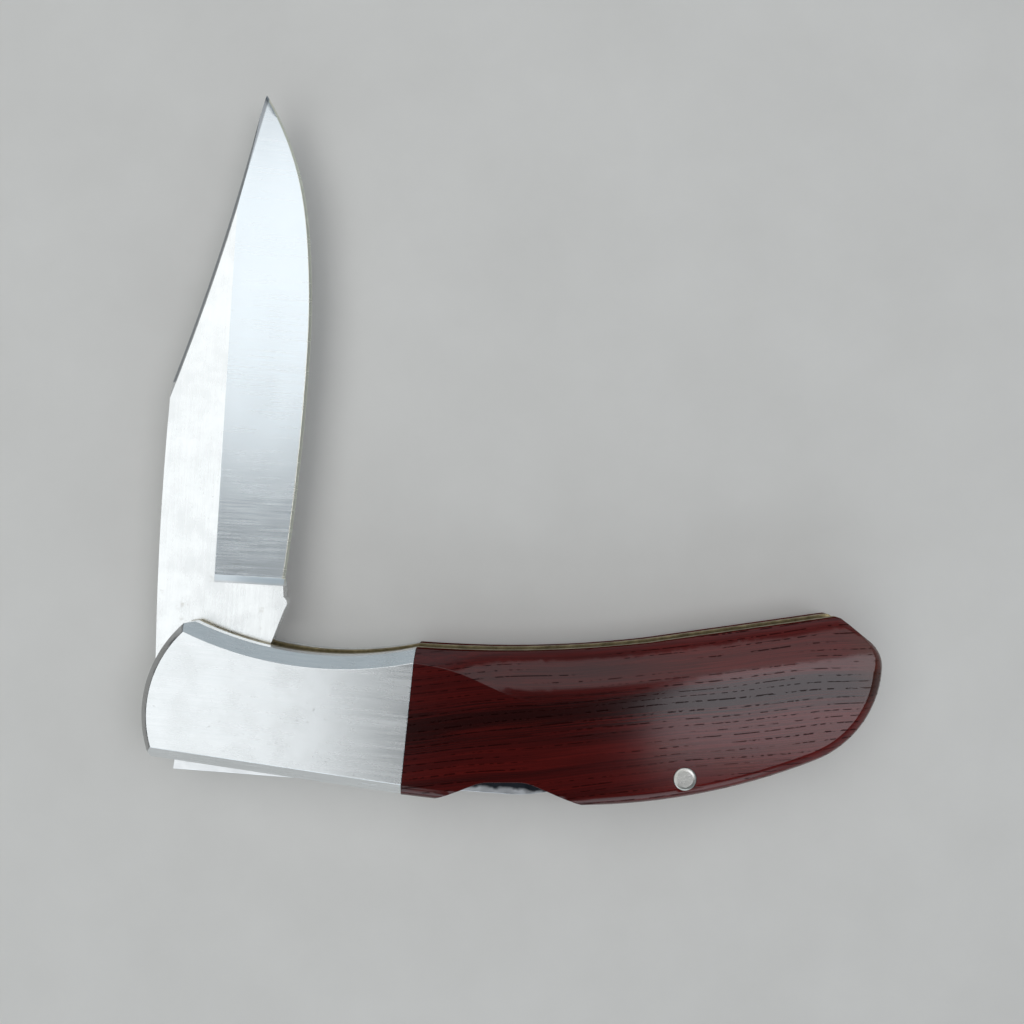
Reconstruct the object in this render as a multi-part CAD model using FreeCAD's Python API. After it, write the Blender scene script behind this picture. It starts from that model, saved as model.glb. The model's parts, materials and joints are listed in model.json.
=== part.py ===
import FreeCAD, Part
import math
import os

# Folding lockback knife with a clip point blade, bolsters, wood scales and liners.
# Millimetres. The blade turns about the Z axis. +X runs to the butt, +Y is the slot side.
# The knife lies on its back face at z = 0, with the blade half open.

os.makedirs("parts", exist_ok=True)
V = FreeCAD.Vector

# Thickness of the layers, from the middle outward
BLADE_THICKNESS = 2.8
WASHER_THICKNESS = 0.2
WASHER_GAP = 0.02
LINER_THICKNESS = 1.0
SIDE_THICKNESS = 3.8
LOCKBAR_SIDE_GAP = 0.12

# Fits of the pins
PRESS_GAP = 0.01
RUNNING_GAP = 0.04

# Handle outline, seen from the front with the pivot at the origin
BACK_SLOPE = 8.6
BACK_DISTANCE = 9.1
FRONT_REACH = 7.5
BACK_STRAIGHT = 27.7
BACK_LOW = (57.5, -15.1)
BUTT_LOW = (90.5, -8.45)
BUTT_END = (100.55, 5.4)
BUTT_HIGH = (98.9, 9.2)
BUTT_CORNER = (94.5, 12.85)
BUTT_CORNER_RADIUS = 1.0
TOP_BEND = (66.0, 8.85)
TOP_DIP = (47.0, 7.7)
JOINT_TOP = (30.9, 8.2)
JOINT_LEAN = 5.8
BOLSTER_DIP = (16.0, 7.35)
FRONT_TOP = (-2.1, 12.3)
FRONT_CORNER = (-3.6, 12.1)
FRONT_MIDDLE = (-9.9, -1.2)

# Thumb notch over the lockbar
NOTCH_LEFT = 40.6
NOTCH_FLAT = 6.8
NOTCH_FLOOR = -11.45
NOTCH_LEFT_SLOPE = 20.9
NOTCH_RIGHT_SLOPE = 23.4
NOTCH_CORNER = 6.0

# Edges of the bolsters and scales
BOLSTER_CHAMFER = 1.8
NOSE_CHAMFER = 1.0
SCALE_ROUND = 1.7
RIM_BANDS = 4
SHOULDER_WIDTH = 8.0
SHOULDER_DROP = 2.4
SHOULDER_RUN = 22.0
SHOULDER_FLAT = 0.05
SHOULDER_ROUND = 0.95
SHOULDER_SECTIONS = 12

# Pins
PIVOT_RADIUS = 2.0
LOCK_PIN_RUN = 25.6
LOCK_PIN_RADIUS = 1.2
SPACER_PIN = (70.9, -10.9)
SPACER_PIN_RADIUS = 1.7
SPACER_PIN_RISE = 0.12
SPACER_PIN_BEVEL = 0.5
BUTT_PIN = (96.6, 0.5)
BUTT_PIN_RADIUS = 1.2
BOLSTER_PIN_UPPER = (1.5, 8.0)
BOLSTER_PIN_REAR = (20.0, 0.5)
BOLSTER_PIN_RADIUS = 1.0
BLIND_SKIN = 0.8
WASHER_RADIUS = 4.4

# Blade, drawn along its own axis: first number toward the tip, second toward the spine
BLADE_REST = 86.46
BLADE_CLOSED = 4.46
SPINE_REAR = 9.5
SPINE_CREST = (29.0, 10.05)
CLIP_START = (47.9, 9.7)
CLIP_SAG = 0.75
TIP = (93.1, -1.85)
EDGE_BEND = (74.3, -9.38)
BELLY = (55.0, -10.9)
EDGE_START = (18.8, -9.2)
KICK_REAR = (14.5, -9.7)
KICK = (15.5, -9.98)
KICK_FRONT = (16.3, -9.4)
GRIND_LINE = 1.3
GRIND_EDGE = 0.32
GRIND_HOLLOW = 0.1
GRIND_SECTIONS = 14
PLUNGE = 18.0
PLUNGE_RUN = 1.0
PLUNGE_START_DEPTH = 0.01
EDGE_BEVEL = 0.5
EDGE_LAND = 0.04
SWEDGE_WIDTH = 0.65
SWEDGE_DROP = 0.6
NICK = (38.0, 6.8)
NICK_RADIUS = 16.0
NICK_WIDTH = 1.8
NICK_DEPTH = 0.7

# Lockbar, drawn locked: first number along the back line, second from the pivot outward
LOCK_LIFT = 4.2
HOOK_FRONT = -5.1
HOOK_REAR = -1.6
HOOK_TIP = -4.75
HOOK_RAKE = 0.4
HOOK_GAP = 0.1
TANG_GAP = 0.05
RECESS_GAP = 0.2
KICK_GAP = 0.2
KICK_RUN = 1.2
SEAT_FRONT = 2.4
SEAT_REAR = 3.9
SEAT_DEPTH = 4.4
PAD_START = 46.0
TAIL_BACK = (55.2, -7.25)
TAIL_INNER = (54.8, -3.9)

# Spring and back spacer
SPRING_THICKNESS = 0.9
SPRING_SEAT_DEPTH = 11.4
SPRING_LIP = 0.85
SPRING_LEAD = 0.6
SPRING_TOE = 1.2
SPRING_TOE_HEIGHT = 0.6
SPRING_GAP = 0.02
TAIL_LAP = 3.8
TAIL_GAP = 0.6
EDGE_ROOM = 1.2
BEND_ROOM = 2.9
TIP_ROOM = 2.4

# Derived levels, measured from the middle plane
SLOT_HALF = BLADE_THICKNESS / 2 + WASHER_THICKNESS + 2 * WASHER_GAP
LINER_OUT = SLOT_HALF + LINER_THICKNESS
SIDE_OUT = LINER_OUT + SIDE_THICKNESS
LOCKBAR_HALF = SLOT_HALF - LOCKBAR_SIDE_GAP

# How far cutting shapes run past the material, what counts as touching, and how offsets turn corners
OVER = 1.5
FAR = 200.0
TOUCHING = 0.001
SHARP_CORNERS = 2


def polar(length, degrees):
    angle = math.radians(degrees)
    return V(length * math.cos(angle), length * math.sin(angle), 0)


def direction(start, end):
    return math.degrees(math.atan2(end.y - start.y, end.x - start.x))


def turned(point, degrees, centre=V()):
    step = point - centre
    return centre + polar(step.Length, direction(V(), step) + degrees)


class Outline:
    """A chain of lines and arcs in the XY plane."""

    def __init__(self, start, heading=0.0):
        self.first = V(*start)
        self.at = self.first
        self.heading = heading
        self.edges = []

    def line(self, end):
        end = V(*end)
        self.heading = direction(self.at, end)
        self.edges.append(Part.makeLine(self.at, end))
        self.at = end

    def arc(self, middle, end):
        end = V(*end)
        self.edges.append(Part.Arc(self.at, V(*middle), end).toShape())
        self.at = end

    def bend(self, end):
        """Arc that carries on in the present direction and ends at the point."""
        end = V(*end)
        half = (direction(self.at, end) - self.heading + 180) % 360 - 180
        chord = (end - self.at).Length
        reach = chord / (2 * math.cos(math.radians(half / 2)))
        middle = self.at + polar(reach, self.heading + half / 2)
        self.heading += 2 * half
        self.arc(middle, end)

    def face(self):
        if (self.at - self.first).Length > TOUCHING:
            self.line(self.first)
        return Part.Face(Part.Wire(self.edges))


def slab(face, low, high):
    moved = face.copy()
    moved.translate(V(0, 0, low))
    return moved.extrude(V(0, 0, high - low))


def cylinder(spot, radius, low, high):
    return Part.makeCylinder(radius, high - low, V(spot[0], spot[1], low))


def mirrored(shape):
    return shape.mirror(V(), V(0, 0, 1))


def upright(solid, spot):
    """Edges that stand up at a spot."""
    corner = V(*spot)

    def stands(edge):
        return all((V(v.X, v.Y, 0) - corner).Length < TOUCHING for v in edge.Vertexes)

    return [e for e in solid.Edges if stands(e)]


def span(face, x):
    """Lowest and highest point of a face on the line at x."""
    cut = face.common(Part.makeLine(V(x, -FAR, 0), V(x, FAR, 0)))
    return cut.BoundBox.YMin, cut.BoundBox.YMax


def along_back(distance, height):
    """Point given along the back line and outward from the pivot."""
    return turned(V(distance, height, 0), -BACK_SLOPE)


# Derived places on the handle, with the blade closed and the lockbar locked
LOCK_PIN = along_back(LOCK_PIN_RUN, SEAT_DEPTH / 2 - BACK_DISTANCE)
CLOSED_KICK = turned(V(*KICK), BLADE_CLOSED + BACK_SLOPE)
CLOSED_BELLY = turned(V(*BELLY), BLADE_CLOSED)
CLOSED_BEND = turned(V(*EDGE_BEND), BLADE_CLOSED)
CLOSED_TIP = turned(V(*TIP), BLADE_CLOSED)
TAIL_REACH = (along_back(*TAIL_BACK) - LOCK_PIN).Length
SPACER_FRONT = LOCK_PIN.x + TAIL_REACH + TAIL_GAP
SPACER_INNER = CLOSED_BELLY.y - EDGE_ROOM
SPRING_SEAT = SPACER_INNER - SPRING_LIP - SPRING_THICKNESS
SPRING_ROOT = SPACER_FRONT + SPRING_SEAT_DEPTH
SEAT_LEVEL = SEAT_DEPTH - BACK_DISTANCE
SEAT_END = LOCK_PIN_RUN + SEAT_REAR


def back_outline():
    """Back and butt of the handle, up to the last bend."""
    shape = Outline(along_back(-FRONT_REACH, -BACK_DISTANCE), -BACK_SLOPE)
    shape.line(along_back(BACK_STRAIGHT, -BACK_DISTANCE))
    for spot in (BACK_LOW, BUTT_LOW, BUTT_END, BUTT_HIGH):
        shape.bend(spot)
    return shape


def handle_face():
    shape = back_outline()
    shape.line(BUTT_CORNER)
    shape.line(TOP_BEND)
    shape.arc(TOP_DIP, JOINT_TOP)
    shape.arc(BOLSTER_DIP, FRONT_TOP)
    shape.line(FRONT_CORNER)
    shape.arc(FRONT_MIDDLE, shape.first)
    return shape.face()


def scale_face():
    """Back and butt with spare material on the slot side."""
    shape = back_outline()
    shape.line(shape.at + (V(*BUTT_CORNER) - shape.at) * 2)
    shape.line((shape.first.x, shape.at.y))
    return shape.face()


def handle_block(handle, low, high):
    """The handle's outline with its butt corner rounded."""
    solid = slab(handle, low, high)
    return solid.makeFillet(BUTT_CORNER_RADIUS, upright(solid, BUTT_CORNER))


def notch_cutter():
    below = BACK_LOW[1] - OVER
    left = (NOTCH_FLOOR - below) / math.tan(math.radians(NOTCH_LEFT_SLOPE))
    right = (NOTCH_FLOOR - below) / math.tan(math.radians(NOTCH_RIGHT_SLOPE))
    far_corner = (NOTCH_LEFT + NOTCH_FLAT, NOTCH_FLOOR)
    shape = Outline((NOTCH_LEFT - left, below))
    shape.line((NOTCH_LEFT, NOTCH_FLOOR))
    shape.line(far_corner)
    shape.line((far_corner[0] + right, below))
    block = slab(shape.face(), -FAR, FAR)
    corners = upright(block, (NOTCH_LEFT, NOTCH_FLOOR)) + upright(block, far_corner)
    return block.makeFillet(NOTCH_CORNER, corners)


def joint_x(y):
    return JOINT_TOP[0] + (y - JOINT_TOP[1]) * math.tan(math.radians(JOINT_LEAN))


def on_joint(edge):
    return all(abs(v.X - joint_x(v.Y)) < TOUCHING for v in edge.Vertexes)


def front_zone():
    shape = Outline((-FAR, -FAR))
    shape.line((joint_x(-FAR), -FAR))
    shape.line((joint_x(FAR), FAR))
    shape.line((-FAR, FAR))
    return slab(shape.face(), -FAR, FAR)


def crest(x):
    """Height of the handle's slot side edge behind the joint."""
    if x > TOP_BEND[0]:
        slope = (BUTT_CORNER[1] - TOP_BEND[1]) / (BUTT_CORNER[0] - TOP_BEND[0])
        return TOP_BEND[1] + (x - TOP_BEND[0]) * slope
    dip = Part.Arc(V(*TOP_BEND), V(*TOP_DIP), V(*JOINT_TOP)).toShape().Curve
    return dip.Center.y - math.sqrt(dip.Radius ** 2 - (x - dip.Center.x) ** 2)


def shoulder_section(x, share):
    """Space over the shoulder: nearly a flat chamfer at share 0, a round running into the top at 1."""
    width = BOLSTER_CHAMFER + share * (SHOULDER_WIDTH - BOLSTER_CHAMFER)
    drop = BOLSTER_CHAMFER + share * (SHOULDER_DROP - BOLSTER_CHAMFER)
    lean = math.degrees(math.atan2(drop, width))
    turn = lean * (SHOULDER_FLAT + share * (SHOULDER_ROUND - SHOULDER_FLAT))
    radius = math.hypot(width, drop) / (2 * math.sin(math.radians(turn)))
    past = math.degrees(OVER / radius)
    end = V(crest(x) - width, SIDE_OUT, 0)
    centre = end + polar(radius, turn - lean - 90)

    def point(angle):
        spot = centre + polar(radius, 90 - lean + angle)
        return V(x, spot.x, spot.y)

    outer = point(-turn - past)
    inner = point(turn)
    over = V(0, 0, SIDE_THICKNESS)
    edges = [
        Part.Arc(outer, point(0), inner).toShape(),
        Part.makeLine(inner, inner + over),
        Part.makeLine(inner + over, outer + over),
        Part.makeLine(outer + over, outer),
    ]
    return Part.Wire(edges)


def shoulder_cutter():
    """Takes the slot side edge of the scale off: a chamfer at the bolster, a broad round behind it."""
    first = JOINT_TOP[0] - OVER
    pitch = (BUTT_END[0] - first) / (SHOULDER_SECTIONS - 1)
    sections = []
    for number in range(SHOULDER_SECTIONS):
        x = first + number * pitch
        run = min(max((x - JOINT_TOP[0]) / SHOULDER_RUN, 0), 1)
        sections.append(shoulder_section(x, run * run * (3 - 2 * run)))
    return Part.makeLoft(sections, True)


def blade_heading():
    return 2 * direction(V(*EDGE_START), V(*BELLY))


def hook_corner():
    """Rear corner of the hook with the lockbar lifted."""
    return turned(along_back(HOOK_REAR, HOOK_TIP), LOCK_LIFT, LOCK_PIN)


TANG_RADIUS = hook_corner().Length - TANG_GAP


def clip_middle():
    """Middle of the clip, which sags a little toward the edge."""
    chord = V(*TIP) - V(*CLIP_START)
    return V(*CLIP_START) + chord * 0.5 + polar(CLIP_SAG, direction(V(), chord) - 90)


def blade_face():
    wall_front = -HOOK_FRONT + HOOK_GAP
    wall_rear = -HOOK_REAR - HOOK_GAP
    floor = -HOOK_TIP - HOOK_GAP
    flat_side = -BACK_SLOPE - BLADE_CLOSED
    flat_foot = polar(floor, flat_side - 90)
    flat_half = math.sqrt(TANG_RADIUS ** 2 - floor ** 2)
    flat_rear = flat_foot + polar(-flat_half, flat_side)
    flat_front = flat_foot + polar(HOOK_REAR + HOOK_GAP, flat_side)
    shape = Outline(EDGE_START, blade_heading())
    shape.bend(BELLY)
    shape.bend(EDGE_BEND)
    shape.bend(TIP)
    shape.arc(clip_middle(), CLIP_START)
    shape.arc(SPINE_CREST, (wall_front, SPINE_REAR))
    shape.line((wall_front, floor))
    shape.line((wall_rear, floor))
    shape.line((wall_rear, math.sqrt(TANG_RADIUS ** 2 - wall_rear ** 2)))
    shape.arc((-TANG_RADIUS, 0), flat_rear)
    shape.line(flat_front)
    shape.line(KICK_REAR)
    shape.arc(KICK, KICK_FRONT)
    return shape.face()


def grind_section(x, edge, depth):
    """Space above the ground bevel at one station, depth being its share of the full grind."""
    top = BLADE_THICKNESS / 2
    slope = (top - GRIND_EDGE) / (GRIND_LINE - edge) * depth
    start = V(x, GRIND_LINE, top)
    end = V(x, edge - OVER, top - slope * (GRIND_LINE - edge + OVER))
    middle = (start + end) * 0.5 - V(0, 0, GRIND_HOLLOW * depth)
    lift = V(0, 0, top)
    edges = [
        Part.Arc(start, middle, end).toShape(),
        Part.makeLine(end, end + lift * 2),
        Part.makeLine(end + lift * 2, start + lift),
        Part.makeLine(start + lift, start),
    ]
    return Part.Wire(edges)


def edge_section(x, edge):
    """Space above the sharpened bevel at one station."""
    slope = (BLADE_THICKNESS / 2 - GRIND_EDGE) / (GRIND_LINE - edge)
    inner = V(x, edge + EDGE_BEVEL, GRIND_EDGE + slope * EDGE_BEVEL)
    outer = V(x, edge - EDGE_BEVEL, 2 * EDGE_LAND - inner.z)
    over = V(0, 0, BLADE_THICKNESS)
    return Part.makePolygon([inner, outer, outer + over, inner + over, inner])


def blade():
    face = blade_face()
    half = BLADE_THICKNESS / 2
    full = PLUNGE + PLUNGE_RUN
    length = TIP[0] - full
    turns = [math.pi / 2 * number / (GRIND_SECTIONS - 1) for number in range(GRIND_SECTIONS)]
    stations = [full + length * math.sin(turn) for turn in turns]
    edges = [span(face, x - TOUCHING)[0] for x in stations]
    ground = [grind_section(x, e, 1.0) for x, e in zip(stations, edges)]
    ramp = [grind_section(PLUNGE, edges[0], PLUNGE_START_DEPTH), ground[0]]
    sharp = [edge_section(x, e) for x, e in zip(stations, edges)]
    cutters = [Part.makeLoft(ground, True), Part.makeLoft(ramp, True), Part.makeLoft(sharp, True)]
    cutters.append(swedge_cutter())
    solid = slab(face, -half, half)
    solid = solid.cut(cutters + [mirrored(c) for c in cutters])
    solid = solid.cut([nick_cutter(), cylinder((0, 0), PIVOT_RADIUS + RUNNING_GAP, -half, half)])
    solid.rotate(V(), V(0, 0, 1), BLADE_REST)
    return solid


def swedge_cutter():
    """Cone taken off along the clip."""
    half = BLADE_THICKNESS / 2
    clip = Part.Arc(V(*CLIP_START), clip_middle(), V(*TIP)).toShape().Curve
    past = math.degrees(2 * OVER / clip.Radius)
    first = direction(clip.Center, V(*CLIP_START)) - past
    last = direction(clip.Center, V(*TIP)) + past
    slope = SWEDGE_DROP / SWEDGE_WIDTH

    def point(reach, z):
        return clip.Center + polar(clip.Radius + reach, first) + V(0, 0, z)

    profile = Part.makePolygon([
        point(SWEDGE_WIDTH, half),
        point(-OVER, half - SWEDGE_DROP - OVER * slope),
        point(-OVER, half + OVER),
        point(SWEDGE_WIDTH, half + OVER),
        point(SWEDGE_WIDTH, half),
    ])
    return Part.Face(profile).revolve(clip.Center, V(0, 0, 1), last - first)


def nick_cutter():
    """Nail nick on the far side of the blade."""
    low = -BLADE_THICKNESS / 2
    base = V(NICK[0], NICK[1], low - NICK_RADIUS + NICK_DEPTH)
    return Part.makeCone(NICK_RADIUS, NICK_RADIUS - NICK_DEPTH, NICK_WIDTH, base, V(0, -1, 0))


def lockbar_face():
    recess = TANG_RADIUS + RECESS_GAP
    arm = CLOSED_KICK.y - KICK_GAP
    arm_front = math.sqrt(recess ** 2 - arm ** 2)
    hook_foot = -math.sqrt(recess ** 2 - HOOK_REAR ** 2)
    shape = Outline((HOOK_FRONT, -BACK_DISTANCE))
    shape.line((PAD_START, -BACK_DISTANCE))
    shape.bend(TAIL_BACK)
    shape.line(TAIL_INNER)
    shape.line((SEAT_END, SEAT_LEVEL))
    shape.line((LOCK_PIN_RUN - SEAT_FRONT, SEAT_LEVEL))
    shape.line((CLOSED_KICK.x + KICK_RUN, arm))
    shape.line((arm_front, arm))
    shape.arc((0, -recess), (HOOK_REAR, hook_foot))
    shape.line((HOOK_REAR, HOOK_TIP))
    shape.line((HOOK_FRONT + HOOK_RAKE, HOOK_TIP))
    return shape.face()


def lockbar():
    solid = slab(lockbar_face(), -LOCKBAR_HALF, LOCKBAR_HALF)
    solid.rotate(V(), V(0, 0, 1), -BACK_SLOPE)
    solid = solid.cut(cylinder(LOCK_PIN, LOCK_PIN_RADIUS + RUNNING_GAP, -FAR, FAR))
    solid.rotate(LOCK_PIN, V(0, 0, 1), LOCK_LIFT)
    return solid


def tail_edge(distance):
    """Point on the inner edge of the lifted lockbar's tail."""
    share = (distance - SEAT_END) / (TAIL_INNER[0] - SEAT_END)
    height = SEAT_LEVEL + share * (TAIL_INNER[1] - SEAT_LEVEL)
    return turned(along_back(distance, height), LOCK_LIFT, LOCK_PIN)


def spring_face():
    touch = tail_edge(TAIL_INNER[0] - TAIL_LAP) + V(0, SPRING_GAP, 0)
    rise = V(0, SPRING_THICKNESS, 0)
    under = Outline(touch + V(-SPRING_TOE, SPRING_TOE_HEIGHT, 0))
    under.line(touch)
    under.heading = 0.0
    under.bend((SPACER_FRONT - SPRING_LEAD, SPRING_SEAT))
    under.line((SPRING_ROOT, SPRING_SEAT))
    above = [e.translated(rise) for e in under.edges]
    ends = [Part.makeLine(p, p + rise) for p in (under.first, under.at)]
    return Part.Face(Part.Wire(Part.sortEdges(under.edges + above + ends)[0]))


def spacer_zone():
    shape = Outline((SPACER_FRONT, SPACER_INNER))
    shape.bend(CLOSED_BEND - V(0, BEND_ROOM, 0))
    shape.bend(CLOSED_TIP + V(TIP_ROOM, 0, 0))
    shape.line((shape.at.x, FAR))
    shape.line((FAR, FAR))
    shape.line((FAR, -FAR))
    shape.line((SPACER_FRONT, -FAR))
    return slab(shape.face(), -FAR, FAR)


def spacer(handle):
    solid = handle_block(handle, -SLOT_HALF, SLOT_HALF).common(spacer_zone())
    seat = Outline((SPACER_FRONT - OVER, SPRING_SEAT))
    seat.line((SPRING_ROOT, SPRING_SEAT))
    seat.line((SPRING_ROOT, SPRING_SEAT + SPRING_THICKNESS))
    seat.line((SPACER_FRONT - OVER, SPRING_SEAT + SPRING_THICKNESS))
    holes = [
        slab(seat.face(), -FAR, FAR),
        cylinder(SPACER_PIN, SPACER_PIN_RADIUS + PRESS_GAP, -FAR, FAR),
        cylinder(BUTT_PIN, BUTT_PIN_RADIUS + PRESS_GAP, -FAR, FAR),
    ]
    return solid.cut(holes)


def liner(handle):
    bores = [
        ((0, 0), PIVOT_RADIUS),
        (LOCK_PIN, LOCK_PIN_RADIUS),
        (SPACER_PIN, SPACER_PIN_RADIUS),
        (BUTT_PIN, BUTT_PIN_RADIUS),
    ]
    bores += [(spot, BOLSTER_PIN_RADIUS) for spot in (BOLSTER_PIN_UPPER, BOLSTER_PIN_REAR)]
    cutters = [cylinder(spot, r + PRESS_GAP, 0, SIDE_OUT) for spot, r in bores]
    return handle_block(handle, SLOT_HALF, LINER_OUT).cut(cutters + [notch_cutter()])


def bolster(handle):
    """Front block, chamfered broadly along its sides and less round its nose."""
    solid = slab(handle, LINER_OUT, SIDE_OUT).common(front_zone())
    rim = [e for e in solid.Edges if e.BoundBox.ZMin > SIDE_OUT - TOUCHING and not on_joint(e)]
    sides = [e for e in rim if e.BoundBox.XMax > FRONT_TOP[0] + TOUCHING]
    solid = solid.makeChamfer(BOLSTER_CHAMFER, sides)
    solid = solid.common(banded_layer(handle, [(0, 0), (NOSE_CHAMFER, NOSE_CHAMFER)]))
    bores = [((0, 0), PIVOT_RADIUS), (LOCK_PIN, LOCK_PIN_RADIUS)]
    bores += [(spot, BOLSTER_PIN_RADIUS) for spot in (BOLSTER_PIN_UPPER, BOLSTER_PIN_REAR)]
    top = SIDE_OUT - BLIND_SKIN
    return solid.cut([cylinder(spot, r + PRESS_GAP, 0, top) for spot, r in bores])


def banded_layer(face, steps):
    """Outer layer whose rim narrows in bands, given as inset and rise of each step."""
    foot = SIDE_OUT - steps[-1][1]
    wires = []
    for inset, rise in steps:
        wire = face.OuterWire.makeOffset2D(-inset, SHARP_CORNERS) if inset else face.OuterWire.copy()
        wire.translate(V(0, 0, foot + rise))
        wires.append(wire)
    return slab(face, LINER_OUT, foot).fuse(Part.makeLoft(wires, True, True))


def round_steps():
    """Bands that follow a quarter circle."""
    angles = [math.radians(90 * band / RIM_BANDS) for band in range(RIM_BANDS + 1)]
    return [(SCALE_ROUND * (1 - math.cos(a)), SCALE_ROUND * math.sin(a)) for a in angles]


def scale(handle):
    hole = cylinder(SPACER_PIN, SPACER_PIN_RADIUS + PRESS_GAP, 0, FAR)
    solid = banded_layer(scale_face(), round_steps())
    solid = solid.cut([front_zone(), shoulder_cutter(), notch_cutter(), hole])
    return solid.common(handle_block(handle, LINER_OUT, SIDE_OUT))


def spacer_pin():
    """Pin with a low bevelled head on the front end, ground flat behind."""
    low = V(*SPACER_PIN, SIDE_OUT)
    top = SPACER_PIN_RADIUS - SPACER_PIN_BEVEL
    head = Part.makeCone(SPACER_PIN_RADIUS, top, SPACER_PIN_RISE, low)
    return cylinder(SPACER_PIN, SPACER_PIN_RADIUS, -SIDE_OUT, SIDE_OUT).fuse(head)


def washer():
    low = BLADE_THICKNESS / 2 + WASHER_GAP
    ring = cylinder((0, 0), WASHER_RADIUS, low, low + WASHER_THICKNESS)
    return ring.cut(cylinder((0, 0), PIVOT_RADIUS + RUNNING_GAP, 0, FAR))


def bolster_pin(spot):
    top = SIDE_OUT - BLIND_SKIN - PRESS_GAP
    return cylinder(spot, BOLSTER_PIN_RADIUS, SLOT_HALF, top)


def blind_pin(spot, radius):
    top = SIDE_OUT - BLIND_SKIN - PRESS_GAP
    return cylinder(spot, radius, -top, top)


def save(name, shape):
    shape.translate(V(0, 0, SIDE_OUT))
    shape.exportStep("parts/" + name + ".step")


handle = handle_face()

# Pieces that come in a front and a back copy
for name, shape in (
    ("liner", liner(handle)),
    ("bolster", bolster(handle)),
    ("scale", scale(handle)),
    ("pivot_washer", washer()),
    ("bolster_pin_upper", bolster_pin(BOLSTER_PIN_UPPER)),
    ("bolster_pin_rear", bolster_pin(BOLSTER_PIN_REAR)),
):
    save("back_" + name, mirrored(shape))
    save("front_" + name, shape)

# Moving pieces
save("blade", blade())
save("lockbar", lockbar())

# Pieces between the liners
save("lock_spring", slab(spring_face(), -LOCKBAR_HALF, LOCKBAR_HALF))
save("back_spacer", spacer(handle))
save("pivot_pin", blind_pin((0, 0), PIVOT_RADIUS))
save("lockbar_pin", blind_pin(LOCK_PIN, LOCK_PIN_RADIUS))
save("spacer_pin", spacer_pin())
save("butt_pin", cylinder(BUTT_PIN, BUTT_PIN_RADIUS, -LINER_OUT, LINER_OUT))
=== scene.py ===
import json
import math

import bmesh
import bpy
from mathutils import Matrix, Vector


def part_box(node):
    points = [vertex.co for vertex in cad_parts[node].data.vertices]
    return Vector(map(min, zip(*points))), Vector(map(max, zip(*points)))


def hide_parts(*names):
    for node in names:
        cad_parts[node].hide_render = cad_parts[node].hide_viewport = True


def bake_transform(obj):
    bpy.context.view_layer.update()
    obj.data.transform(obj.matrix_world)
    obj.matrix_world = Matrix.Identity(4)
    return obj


# Looks of a folding lockback knife that lies half open on a pale floor.
# Places in the scene, panels and floor are in metres. Lengths on the knife are in
# millimetres, and so are the places that the material patterns are laid out in.

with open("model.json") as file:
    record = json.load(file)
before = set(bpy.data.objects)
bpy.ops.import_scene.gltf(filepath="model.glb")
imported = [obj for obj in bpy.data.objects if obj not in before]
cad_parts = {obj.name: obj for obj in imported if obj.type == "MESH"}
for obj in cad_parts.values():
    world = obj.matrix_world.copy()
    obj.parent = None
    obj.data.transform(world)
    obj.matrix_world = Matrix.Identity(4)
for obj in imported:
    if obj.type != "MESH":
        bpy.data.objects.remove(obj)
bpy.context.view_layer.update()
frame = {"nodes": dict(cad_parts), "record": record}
nodes = frame["nodes"]

MM = 0.001

# Camera, straight above the knife
CAMERA_SPOT = (0.0453, 0.02865, 0.170)
CAMERA_LENS = 37.33
CAMERA_SENSOR = 36.0
CAMERA_NEAR = 0.005

# Soft panels: centre, size, direction they face, brightness and colour
PANELS = {
    "left_panel": ((-0.33, 0.0, 0.6), (0.54, 1.2), (0, 0, -1), 1.16, (0.96, 0.99, 1.0)),
    "tip_panel": ((-0.02, 0.32, 0.6), (0.08, 0.54), (0, 0, -1), 1.35, (0.96, 0.99, 1.0)),
    "far_panel": ((0.26, 0.355, 0.6), (0.48, 0.47), (0, 0, -1), 0.9, (0.96, 0.98, 1.0)),
    "right_panel": ((0.3225, -0.014, 0.6), (0.355, 0.268), (0, 0, -1), 2.6, (0.94, 0.95, 1.0)),
    "near_panel": ((-0.1, -1.0, 0.45), (1.4, 0.6), (0.1, 1.0, -0.4), 1.05, (0.88, 0.95, 1.0)),
}
# Power for one unit of brightness over one square metre of panel
PANEL_POWER = math.pi

# Room light: its colour, and its strength from the left, the other sides and straight above
ROOM_COLOUR = (0.82, 0.93, 1.0, 1.0)
ROOM_LEFT = 0.06
ROOM_SIDES = 0.52
ROOM_ABOVE = 0.03
# Directions between which it changes, in X for the left and in Z for above
LEFT_SPAN = (-0.9, -0.3)
ABOVE_SPAN = (0.35, 0.8)

FLOOR_SIZE = 8.0
FLOOR_TONES = ((0.3, (0.72, 0.70, 0.67)), (0.7, (0.76, 0.74, 0.71)))

# Places on the blade, in its own axes: along it from the pivot and across it to the spine
BLADE_HEADING = 86.46
BLADE_MIDDLE = 6.44
GRIND_LINE = 1.3
GRIND_BLUR = 0.05
PLUNGE = 18.0
PLUNGE_RUN = 1.0
PLUNGE_BLUR = 0.15
PLUNGE_FADE = 0.4
CLIP_START = Vector((47.9, 9.7))
CLIP_END = Vector((93.1, -1.85))
CLIP_SAG = 0.75
CLIP_FADE = 0.3
SWEDGE_WIDTH = 0.65
SWEDGE_FADE = 0.25
# Half thickness of the blade at the top of its sharpened edge
EDGE_LEVEL = 0.31
EDGE_BLUR = 0.015
# Stains come up along the blade towards the bolsters, from the first place to the second
STAIN_SPAN = (24.0, 12.0)
FLAT_BRIGHT = (0.88, 0.89, 0.89)
FLAT_DULL = (0.82, 0.83, 0.83)
BEVEL_TONES = ((0.3, (0.78, 0.835, 0.87)), (0.7, (0.83, 0.875, 0.905)))
# Edge steel tinted warm as a painted highlight
EDGE_STEEL_AND_HIGHLIGHT = (0.86, 0.83, 0.70)
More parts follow.
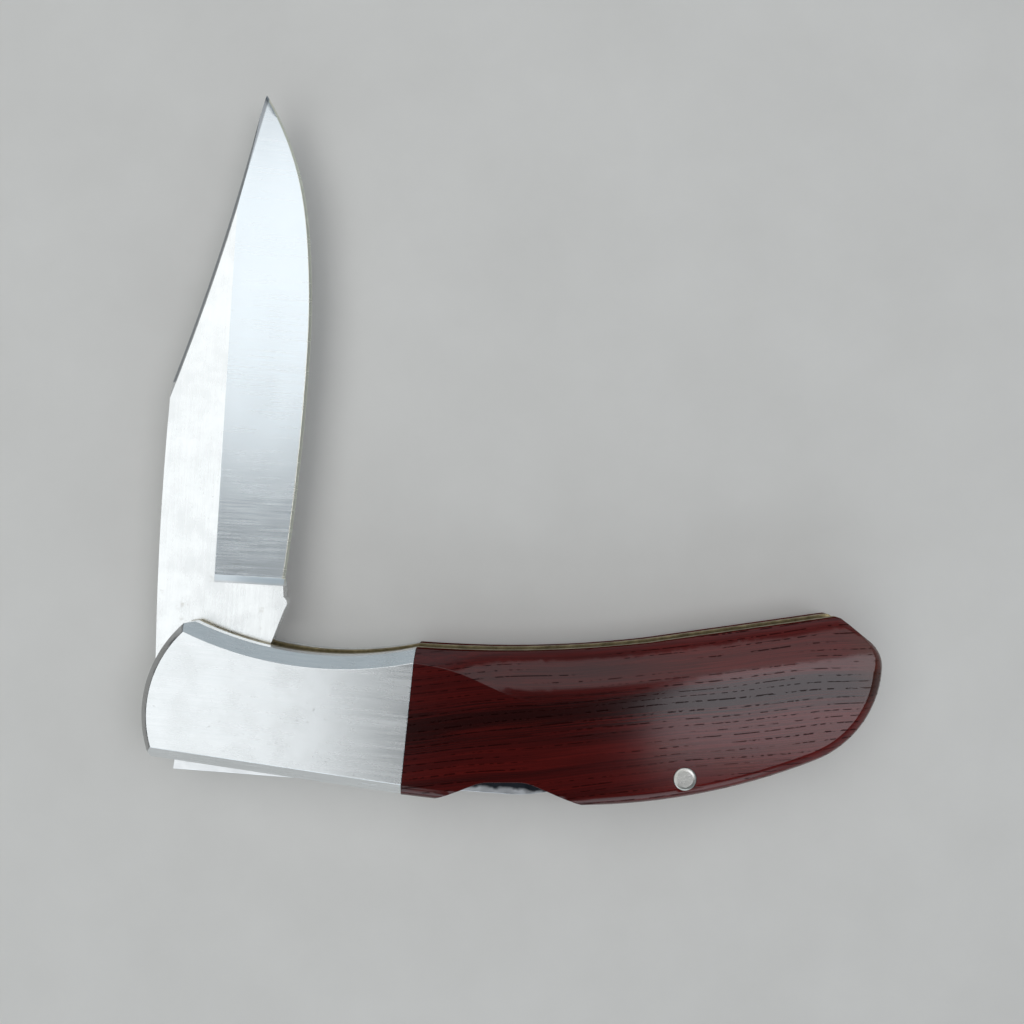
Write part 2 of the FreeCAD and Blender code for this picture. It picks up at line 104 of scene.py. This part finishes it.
# Painted shade for the swedge band along the clip
SWEDGE_PAINTED_SHADE = (0.36, 0.38, 0.40)
STAIN = (0.42, 0.38, 0.32)

# Bolsters: the slope of the handle's long axis, for the brushed lines, and the colours, with painted
# shade for the faces towards the nose
HANDLE_SLOPE = -6.0
BOLSTER_TONES = ((0.3, (0.775, 0.795, 0.805)), (0.7, (0.845, 0.86, 0.87)))
BOLSTER_CLOUD = (0.66, 0.665, 0.65)
BOLSTER_SPECK = (0.5, 0.5, 0.5)
# Painted shade laid on the bolster faces that look towards the nose
BOLSTER_NOSE_PAINTED_SHADE = (0.24, 0.225, 0.215)

# Wood: the slope of its grain, the line of its dark streak, and the rows of pores
GRAIN_SLOPE = 5.5
GRAIN_SWAY = 0.8
STREAK_HEIGHT = -6.0
STREAK_WIDTH = 3.2
STREAK_CORE = 0.4
STREAK_RAGGED = 0.9
PORE_PITCH = 1.0
PORE_WANDER = 9.0
# The wood is paler towards the butt and beside the streak, partly its own tone and partly painted
# sheen, and orange-brown at the butt itself.
# Each comes up from the first place to the second, or with the distance from the streak
PALE_AND_SHEEN_SPAN = (56.0, 76.0)
PALE_AND_SHEEN_BESIDE = (1.2, 3.6)
BUTT_SPAN = (94.0, 101.0)
WOOD_TONES = (
    (0.30, (0.034, 0.0030, 0.0026)),
    (0.46, (0.062, 0.0042, 0.0036)),
    (0.58, (0.096, 0.0060, 0.0046)),
    (0.74, (0.050, 0.0038, 0.0032)),
)
# Paler wood that also paints part of the sheen's pink
WOOD_PALE_AND_SHEEN = (0.145, 0.0110, 0.0090)
WOOD_FIBRE = (0.020, 0.0022, 0.0020)
WOOD_STREAK = (0.011, 0.0018, 0.0016)
WOOD_PORE = (0.005, 0.0014, 0.0013)
# Orange-brown tone at the butt
WOOD_BUTT_TONE = (0.085, 0.028, 0.017)

BRASS_TONES = (
    (0.30, (0.12, 0.095, 0.050)),
    (0.52, (0.27, 0.22, 0.12)),
    (0.75, (0.50, 0.42, 0.24)),
)

# Lockbar and spacer: the bar's slope at rest, the level of its back edge in that
# direction, how far inside it the near-black zone starts, where that zone and the dull
# tone come up along the bar, and the colours
LOCKBAR_SLOPE = -4.4
LOCKBAR_BACK = -10.96
NEAR_BLACK_START = 0.5
NEAR_BLACK_FULL = 1.1
NEAR_BLACK_RAGGED = 0.2
NEAR_BLACK_SPAN = (20.0, 30.0)
DULL_SPAN = (30.0, 36.0)
LOCK_DARK = (0.84, 0.85, 0.865)
LOCK_BRIGHT = (0.92, 0.93, 0.94)
LOCK_DULL = (0.36, 0.38, 0.41)
LOCK_NEAR_BLACK = (0.014, 0.017, 0.024)

PIN_TONES = ((0.3, (0.47, 0.465, 0.43)), (0.65, (0.62, 0.615, 0.575)))
WASHER_TONES = ((0.3, (0.50, 0.31, 0.15)), (0.7, (0.70, 0.48, 0.27)))

# Number of slices across the length of the lock spring
SPRING_SLICES = 24

# Rounding of the edges, and the distances and angles of its modifiers
EDGE_ROUND = 0.08
BLADE_ROUND = 0.03
SPRING_ROUND = 0.05
JOIN_DISTANCE = 0.002
CLEAN_DISTANCE = 0.0005
FLAT_ANGLE = 0.1
SHARP_ANGLE = 28


class Look:
    """A material and short calls for its nodes, with places in millimetres."""

    def __init__(self, name, **shader):
        self.material = bpy.data.materials.new(name)
        self.material.use_nodes = True
        self.tree = self.material.node_tree
        self.shader = self.tree.nodes["Principled BSDF"]
        for socket, value in shader.items():
            self.put(self.shader.inputs[socket.replace("_", " ")], value)
        place = self.add("ShaderNodeTexCoord").outputs["Object"]
        scaled = self.add("ShaderNodeVectorMath", operation="SCALE")
        self.put(scaled.inputs[0], place)
        self.put(scaled.inputs["Scale"], 1 / MM)
        self.place = scaled.outputs[0]

    def add(self, kind, **settings):
        node = self.tree.nodes.new(kind)
        for key, value in settings.items():
            setattr(node, key, value)
        return node

    def put(self, socket, value):
        """Links the socket, or sets it to a constant."""
        if isinstance(value, bpy.types.NodeSocket):
            self.tree.links.new(value, socket)
        else:
            socket.default_value = value

    def set(self, socket, value):
        self.put(self.shader.inputs[socket], value)

    def maths(self, operation, *values):
        node = self.add("ShaderNodeMath", operation=operation)
        for socket, value in zip(node.inputs, values):
            self.put(socket, value)
        return node.outputs[0]

    def times(self, first, second):
        return self.maths("MULTIPLY", first, second)

    def plus(self, first, second):
        return self.maths("ADD", first, second)

    def gap(self, value, level):
        """Distance of the value from a level, on either side."""
        return self.maths("ABSOLUTE", self.maths("SUBTRACT", value, level))

    def laid(self, turn=0.0, scale=(1, 1, 1), place=None):
        """The place turned about Z and stretched."""
        turned = self.add("ShaderNodeVectorRotate", rotation_type="Z_AXIS")
        self.put(turned.inputs["Vector"], place or self.place)
        self.put(turned.inputs["Angle"], -math.radians(turn))
        stretched = self.add("ShaderNodeVectorMath", operation="MULTIPLY")
        self.put(stretched.inputs[0], turned.outputs[0])
        self.put(stretched.inputs[1], scale)
        return stretched.outputs[0]

    def parts(self, vector):
        node = self.add("ShaderNodeSeparateXYZ")
        self.put(node.inputs[0], vector)
        return node.outputs

    def facing(self):
        """Direction in which the surface faces."""
        return self.parts(self.add("ShaderNodeNewGeometry").outputs["True Normal"])

    def noise(self, place, scale=1.0, detail=2.0, roughness=0.5):
        node = self.add("ShaderNodeTexNoise")
        self.put(node.inputs["Vector"], place)
        self.put(node.inputs["Scale"], scale)
        self.put(node.inputs["Detail"], detail)
        self.put(node.inputs["Roughness"], roughness)
        return node.outputs["Fac"]

    def step(self, value, low, high, start=0.0, end=1.0):
        """Smooth change from start to end while the value goes from low to high."""
        node = self.add("ShaderNodeMapRange", interpolation_type="SMOOTHSTEP")
        for socket, number in zip(node.inputs, (value, low, high, start, end)):
            self.put(socket, number)
        return node.outputs[0]

    def ramp(self, value, stops):
        node = self.add("ShaderNodeValToRGB")
        self.put(node.inputs[0], value)
        points = node.color_ramp.elements
        while len(points) < len(stops):
            points.new(1.0)
        for point, (at, colour) in zip(points, stops):
            point.position = at
            point.color = (*colour, 1.0)
        return node.outputs[0]

    def mixed(self, share, first, second):
        node = self.add("ShaderNodeMix", data_type="RGBA", blend_type="MIX")
        self.put(node.inputs[0], share)
        for socket, colour in zip(node.inputs[6:8], (first, second)):
            self.put(socket, colour if isinstance(colour, bpy.types.NodeSocket) else (*colour, 1.0))
        return node.outputs[2]

    def bump(self, height, distance, strength=1.0):
        node = self.add("ShaderNodeBump")
        self.put(node.inputs["Strength"], strength)
        self.put(node.inputs["Distance"], distance * MM)
        self.put(node.inputs["Height"], height)
        self.set("Normal", node.outputs[0])


def clip_circle():
    """Centre and radius of the concave clip, in the blade's own axes."""
    chord = CLIP_END - CLIP_START
    inward = Vector((chord.y, -chord.x)).normalized()
    radius = (chord.length ** 2 / 4 + CLIP_SAG ** 2) / (2 * CLIP_SAG)
    return (CLIP_START + CLIP_END) / 2 + inward * (CLIP_SAG - radius), radius


def painted_swedge_share(look, along, across):
    """Share of the painted shade on the swedge, a narrow band along the clip."""
    centre, radius = clip_circle()
    flat_place = look.add("ShaderNodeCombineXYZ")
    look.put(flat_place.inputs["X"], along)
    look.put(flat_place.inputs["Y"], across)
    reach = look.add("ShaderNodeVectorMath", operation="DISTANCE")
    look.put(reach.inputs[0], flat_place.outputs[0])
    look.put(reach.inputs[1], (*centre, 0.0))
    outer = radius + SWEDGE_WIDTH
    band = look.step(reach.outputs["Value"], outer, outer - SWEDGE_FADE)
    return look.times(band, look.step(along, CLIP_START.x, CLIP_START.x + CLIP_FADE))


def blade_look():
    """Polished flats, a bevel brushed crosswise, an edge tinted warm as a painted highlight, and
    painted shade on the swedge.
    """
    look = Look("blade_steel", Metallic=1.0)
    along, across, _ = look.parts(look.laid(BLADE_HEADING))
    depth = look.gap(look.parts(look.place)[2], BLADE_MIDDLE)
    below = look.step(across, GRIND_LINE + GRIND_BLUR, GRIND_LINE - GRIND_BLUR)
    ground = look.times(below, look.step(along, PLUNGE, PLUNGE + PLUNGE_FADE))
    edge = look.times(ground, look.step(depth, EDGE_LEVEL + EDGE_BLUR, EDGE_LEVEL - EDGE_BLUR))
    painted_swedge_shade = painted_swedge_share(look, along, across)

    crosswise = look.noise(look.laid(BLADE_HEADING, (3.2, 0.12, 0.5)))
    lengthwise = look.noise(look.laid(BLADE_HEADING, (0.12, 2.8, 0.5)))
    cloud = look.noise(look.place, 0.18, detail=4.0, roughness=0.6)
    stain = look.step(look.noise(look.place, 0.7, detail=5.0, roughness=0.7), 0.58, 0.75)
    stain = look.times(stain, look.step(along, *STAIN_SPAN))

    flat = look.mixed(look.step(cloud, 0.35, 0.7), FLAT_BRIGHT, FLAT_DULL)
    steel = look.mixed(ground, flat, look.ramp(crosswise, BEVEL_TONES))
    # Painted highlight: the sharpened edge is tinted warm in the base colour
    steel = look.mixed(edge, steel, EDGE_STEEL_AND_HIGHLIGHT)
    # Painted shade: the swedge band along the clip is darkened in the base colour
    steel = look.mixed(painted_swedge_shade, steel, SWEDGE_PAINTED_SHADE)
    look.set("Base Color", look.mixed(look.times(stain, 0.45), steel, STAIN))

    lines = look.mixed(ground, lengthwise, crosswise)
    rough = look.step(lines, 0.2, 0.8, 0.22, 0.28)
    plunge = look.times(below, look.step(along, PLUNGE - PLUNGE_BLUR, PLUNGE))
    plunge_end = PLUNGE + PLUNGE_RUN
    plunge = look.times(plunge, look.step(along, plunge_end + PLUNGE_BLUR, plunge_end))
    rough = look.plus(rough, look.times(plunge, 0.35))
    uneven = look.step(cloud, 0.3, 0.7, -0.02, 0.05)
    uneven = look.times(uneven, look.step(ground, 0.0, 1.0, 1.0, 0.2))
    look.set("Roughness", look.plus(rough, uneven))
    look.bump(lines, 0.0004)
    return look


def bolster_look():
    """Satin steel brushed lengthwise, with painted shade on the faces towards the nose."""
    look = Look("bolster_steel", Metallic=1.0)
    lines = look.noise(look.laid(HANDLE_SLOPE, (0.10, 2.6, 2.6)))
    cloud = look.noise(look.place, 0.16, detail=4.0, roughness=0.6)
    speck = look.step(look.noise(look.place, 1.1, detail=3.0, roughness=0.6), 0.66, 0.76)
    # Painted shade: faces that look towards the nose are darkened in the base colour
    painted_nose_shade = look.step(look.facing()[0], -0.35, -0.6)
    steel = look.ramp(lines, BOLSTER_TONES)
    steel = look.mixed(look.step(cloud, 0.4, 0.75, 0.0, 0.25), steel, BOLSTER_CLOUD)
    steel = look.mixed(look.times(speck, 0.4), steel, BOLSTER_SPECK)
    look.set("Base Color", look.mixed(look.times(painted_nose_shade, 0.6), steel, BOLSTER_NOSE_PAINTED_SHADE))
    rough = look.step(lines, 0.2, 0.8, 0.22, 0.28)
    look.set("Roughness", look.plus(rough, look.step(cloud, 0.3, 0.7, -0.02, 0.03)))
    look.bump(lines, 0.0005)
    return look


def grain_place(look):
    """Place along and across the grain, which sways a little."""
    sway = look.noise(look.laid(GRAIN_SLOPE, (0.03, 0.05, 0.05)), detail=1.0)
    offset = look.add("ShaderNodeCombineXYZ")
    look.put(offset.inputs["Y"], look.step(sway, 0.2, 0.8, -GRAIN_SWAY, GRAIN_SWAY))
    swayed = look.add("ShaderNodeVectorMath", operation="ADD")
    look.put(swayed.inputs[0], look.laid(GRAIN_SLOPE))
    look.put(swayed.inputs[1], offset.outputs[0])
    return swayed.outputs[0]


def wood_look():
    """Dark red wood with a streak and rows of pores under a clear coat."""
    look = Look("scale_wood", Roughness=0.55, Specular_IOR_Level=0.0, Coat_Roughness=0.13, Coat_IOR=1.5)
    grain = grain_place(look)
    along, height, _ = look.parts(grain)
    bands = look.noise(look.laid(0, (0.012, 0.40, 0.3), grain), detail=5.0, roughness=0.6)
    fibres = look.noise(look.laid(0, (0.06, 4.2, 4.2), grain), detail=4.0, roughness=0.7)

    off = look.gap(height, STREAK_HEIGHT)
    ragged = look.plus(off, look.step(fibres, 0.3, 0.7, -STREAK_RAGGED, STREAK_RAGGED))
    streak = look.step(ragged, STREAK_WIDTH, STREAK_CORE)

    wander = look.noise(look.laid(0, (0.015, 0.3, 0.3), grain), detail=1.0)
    turns = look.plus(look.times(height, math.tau / PORE_PITCH), look.times(wander, PORE_WANDER))
    rows = look.step(look.maths("SINE", turns), 0.78, 0.95)
    dashes = look.step(look.noise(look.laid(0, (1.0, 1.7, 1.7), grain), detail=1.0), 0.44, 0.54)
    present = look.step(look.noise(look.laid(0, (0.05, 0.4, 0.4), grain), detail=1.0), 0.38, 0.52)
    pores = look.times(look.times(rows, dashes), look.maths("MAXIMUM", present, streak))

    # Paler wood beside the streak towards the butt, partly its own tone and partly painted sheen
    pale_and_sheen = look.times(look.step(along, *PALE_AND_SHEEN_SPAN), look.step(off, *PALE_AND_SHEEN_BESIDE))
    # Orange-brown towards the butt, mottled along the fibres
    rear_tone = look.times(look.step(along, *BUTT_SPAN), look.step(fibres, 0.3, 0.6, 0.3, 0.7))
    wood = look.ramp(bands, WOOD_TONES)
    wood = look.mixed(look.times(pale_and_sheen, 0.65), wood, WOOD_PALE_AND_SHEEN)
    wood = look.mixed(look.step(fibres, 0.35, 0.65, 0.5, 0.0), wood, WOOD_FIBRE)
    wood = look.mixed(look.times(streak, 0.85), wood, WOOD_STREAK)
    wood = look.mixed(look.times(pores, 0.7), wood, WOOD_PORE)
    look.set("Base Color", look.mixed(rear_tone, wood, WOOD_BUTT_TONE))

    # The coat lies on the faces that look up or down, and is thin in the pores
    level = look.step(look.maths("ABSOLUTE", look.facing()[2]), 0.1, 0.5)
    look.set("Coat Weight", look.times(level, look.step(pores, 0.0, 1.0, 1.0, 0.2)))
    look.bump(look.maths("SUBTRACT", fibres, pores), 0.008, 0.3)
    return look


def brass_look():
    """Tarnished brass."""
    look = Look("liner_brass", Metallic=1.0)
    tarnish = look.noise(look.place, 0.5, detail=5.0, roughness=0.65)
    lines = look.noise(look.laid(0, (0.15, 2.6, 2.6)))
    look.set("Base Color", look.ramp(tarnish, BRASS_TONES))
    look.set("Roughness", look.step(tarnish, 0.3, 0.7, 0.52, 0.34))
    look.bump(lines, 0.002)
    return look


def lock_look():
    """Ground steel, duller towards the rear, and near black along the bar except close to its back
    edge.
    """
    look = Look("lock_steel", Metallic=1.0)
    along, height, _ = look.parts(look.laid(LOCKBAR_SLOPE))
    lines = look.noise(look.laid(LOCKBAR_SLOPE, (0.12, 2.6, 2.6)))
    dirt = look.noise(look.place, 0.6, detail=5.0, roughness=0.65)
    ragged = look.step(look.noise(look.place, 0.5), 0.3, 0.7, -NEAR_BLACK_RAGGED, NEAR_BLACK_RAGGED)
    rim = look.plus(height, ragged)
    inside = look.step(rim, LOCKBAR_BACK + NEAR_BLACK_START, LOCKBAR_BACK + NEAR_BLACK_FULL)
    # Near black from a little inside the back edge, coming up along the bar
    near_black = look.times(inside, look.step(along, *NEAR_BLACK_SPAN))
    # Faces on the outside of the back and the butt are not darkened
    facing = look.facing()
    outward = look.maths("MAXIMUM", look.times(facing[1], -1.0), facing[0])
    near_black = look.times(near_black, look.step(outward, 0.6, 0.3))
    # Duller tone towards the rear
    rear_tone = look.step(along, *DULL_SPAN)
    steel = look.mixed(lines, LOCK_DARK, LOCK_BRIGHT)
    steel = look.mixed(look.times(rear_tone, 0.6), steel, LOCK_DULL)
    look.set("Base Color", look.mixed(look.times(near_black, 0.98), steel, LOCK_NEAR_BLACK))
    look.set("Roughness", look.step(dirt, 0.3, 0.7, 0.28, 0.42))
    look.bump(lines, 0.001)
    return look


def pin_look():
    """Worn pin metal."""
    look = Look("pin_metal", Metallic=1.0)
    marks = look.noise(look.place, 2.2, detail=5.0, roughness=0.7)
    look.set("Base Color", look.ramp(marks, PIN_TONES))
    look.set("Roughness", look.step(marks, 0.3, 0.7, 0.38, 0.26))
    look.bump(marks, 0.01, 0.3)
    return look


def washer_look():
    """Plain bronze."""
    look = Look("washer_bronze", Metallic=1.0)
    marks = look.noise(look.place, 1.5, detail=4.0, roughness=0.6)
    look.set("Base Color", look.ramp(marks, WASHER_TONES))
    look.set("Roughness", look.step(marks, 0.3, 0.7, 0.42, 0.30))
    look.bump(marks, 0.005, 0.3)
    return look


def soften(piece, width, sliced=False):
    """Rounds the sharp edges of a piece a little."""
    piece.modifiers.new("join", "WELD").merge_threshold = JOIN_DISTANCE * MM
    if not sliced:
        flat = piece.modifiers.new("flats", "DECIMATE")
        flat.decimate_type = "DISSOLVE"
        flat.angle_limit = math.radians(FLAT_ANGLE)
    edge = piece.modifiers.new("edges", "BEVEL")
    edge.width = width * MM
    edge.segments = 2
    edge.limit_method = "ANGLE"
    edge.angle_limit = math.radians(SHARP_ANGLE)
    edge.use_clamp_overlap = False
    edge.harden_normals = True
    piece.modifiers.new("clean", "WELD").merge_threshold = CLEAN_DISTANCE * MM
    shading = piece.modifiers.new("shading", "WEIGHTED_NORMAL")
    shading.mode = "FACE_AREA_WITH_ANGLE"
    shading.keep_sharp = True


def dress():
    """Gives each CAD node the look of its slot and rounds its edges."""
    looks = {
        "blade_steel": blade_look(),
        "bolster_steel": bolster_look(),
        "lock_steel": lock_look(),
        "scale_wood": wood_look(),
        "liner_brass": brass_look(),
        "washer_bronze": washer_look(),
        "pin_metal": pin_look(),
    }
    for part in frame["record"]["subparts"]:
        piece = nodes[part["node"]]
        piece.data.materials.clear()
        piece.data.materials.append(looks[part["material_slot"]].material)
    for name, piece in nodes.items():
        soften(piece, BLADE_ROUND if name == "blade" else EDGE_ROUND)
    return looks


def add_spring(look):
    """The lock spring as a leaf sliced across its length, shown in place of the CAD node."""
    leaf = bmesh.new()
    leaf.from_mesh(nodes["lock_spring"].data)
    bmesh.ops.remove_doubles(leaf, verts=leaf.verts, dist=JOIN_DISTANCE * MM)
    low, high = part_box("lock_spring")
    for number in range(1, SPRING_SLICES):
        x = low.x + (high.x - low.x) * number / SPRING_SLICES
        everything = leaf.verts[:] + leaf.edges[:] + leaf.faces[:]
        bmesh.ops.bisect_plane(leaf, geom=everything, plane_co=(x, 0, 0), plane_no=(1, 0, 0))
    mesh = bpy.data.meshes.new("spring_leaf")
    leaf.to_mesh(mesh)
    leaf.free()
    mesh.materials.append(look.material)
    piece = bpy.data.objects.new("spring_leaf", mesh)
    bpy.context.scene.collection.objects.link(piece)
    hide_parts("lock_spring")
    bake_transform(piece)
    soften(piece, SPRING_ROUND, sliced=True)


def add_floor():
    mesh = bpy.data.meshes.new("floor")
    half = FLOOR_SIZE / 2
    corners = [(-half, -half, 0), (half, -half, 0), (half, half, 0), (-half, half, 0)]
    mesh.from_pydata(corners, [], [(0, 1, 2, 3)])
    floor = bpy.data.objects.new("floor", mesh)
    bpy.context.scene.collection.objects.link(floor)
    look = Look("floor", Roughness=0.75, Specular_IOR_Level=0.25)
    speckle = look.noise(look.place, 0.05, detail=6.0, roughness=0.6)
    look.set("Base Color", look.ramp(speckle, FLOOR_TONES))
    mesh.materials.append(look.material)


def add_lights():
    for name, (centre, size, facing, brightness, colour) in PANELS.items():
        lamp = bpy.data.lights.new(name, "AREA")
        lamp.shape = "RECTANGLE"
        lamp.size, lamp.size_y = size
        lamp.color = colour
        lamp.energy = brightness * PANEL_POWER * size[0] * size[1]
        panel = bpy.data.objects.new(name, lamp)
        panel.location = centre
        panel.rotation_euler = Vector(facing).to_track_quat("-Z", "Y").to_euler()
        bpy.context.scene.collection.objects.link(panel)


def add_room():
    """Dim light from all round, darker on the left and overhead."""
    world = bpy.data.worlds.new("room")
    world.use_nodes = True
    bpy.context.scene.world = world
    tree = world.node_tree

    def change(value, low, high, start, end):
        node = tree.nodes.new("ShaderNodeMapRange")
        node.interpolation_type = "SMOOTHSTEP"
        for socket, number in zip(node.inputs[1:5], (low, high, start, end)):
            socket.default_value = number
        tree.links.new(value, node.inputs["Value"])
        return node

    split = tree.nodes.new("ShaderNodeSeparateXYZ")
    tree.links.new(tree.nodes.new("ShaderNodeTexCoord").outputs["Generated"], split.inputs[0])
    sides = change(split.outputs["X"], *LEFT_SPAN, ROOM_LEFT, ROOM_SIDES)
    room = change(split.outputs["Z"], *ABOVE_SPAN, ROOM_SIDES, ROOM_ABOVE)
    # The strength low in the room, the fourth socket, varies from side to side
    tree.links.new(sides.outputs[0], room.inputs[3])
    background = tree.nodes["Background"]
    background.inputs["Color"].default_value = ROOM_COLOUR
    tree.links.new(room.outputs[0], background.inputs["Strength"])


def add_camera():
    lens = bpy.data.cameras.new("camera")
    lens.lens = CAMERA_LENS
    lens.sensor_width = CAMERA_SENSOR
    lens.clip_start = CAMERA_NEAR
    camera = bpy.data.objects.new("camera", lens)
    camera.location = CAMERA_SPOT
    bpy.context.scene.collection.objects.link(camera)
    bpy.context.scene.camera = camera


bpy.context.scene.view_settings.view_transform = "Standard"
looks = dress()
add_spring(looks["lock_steel"])
add_floor()
add_lights()
add_room()
add_camera()
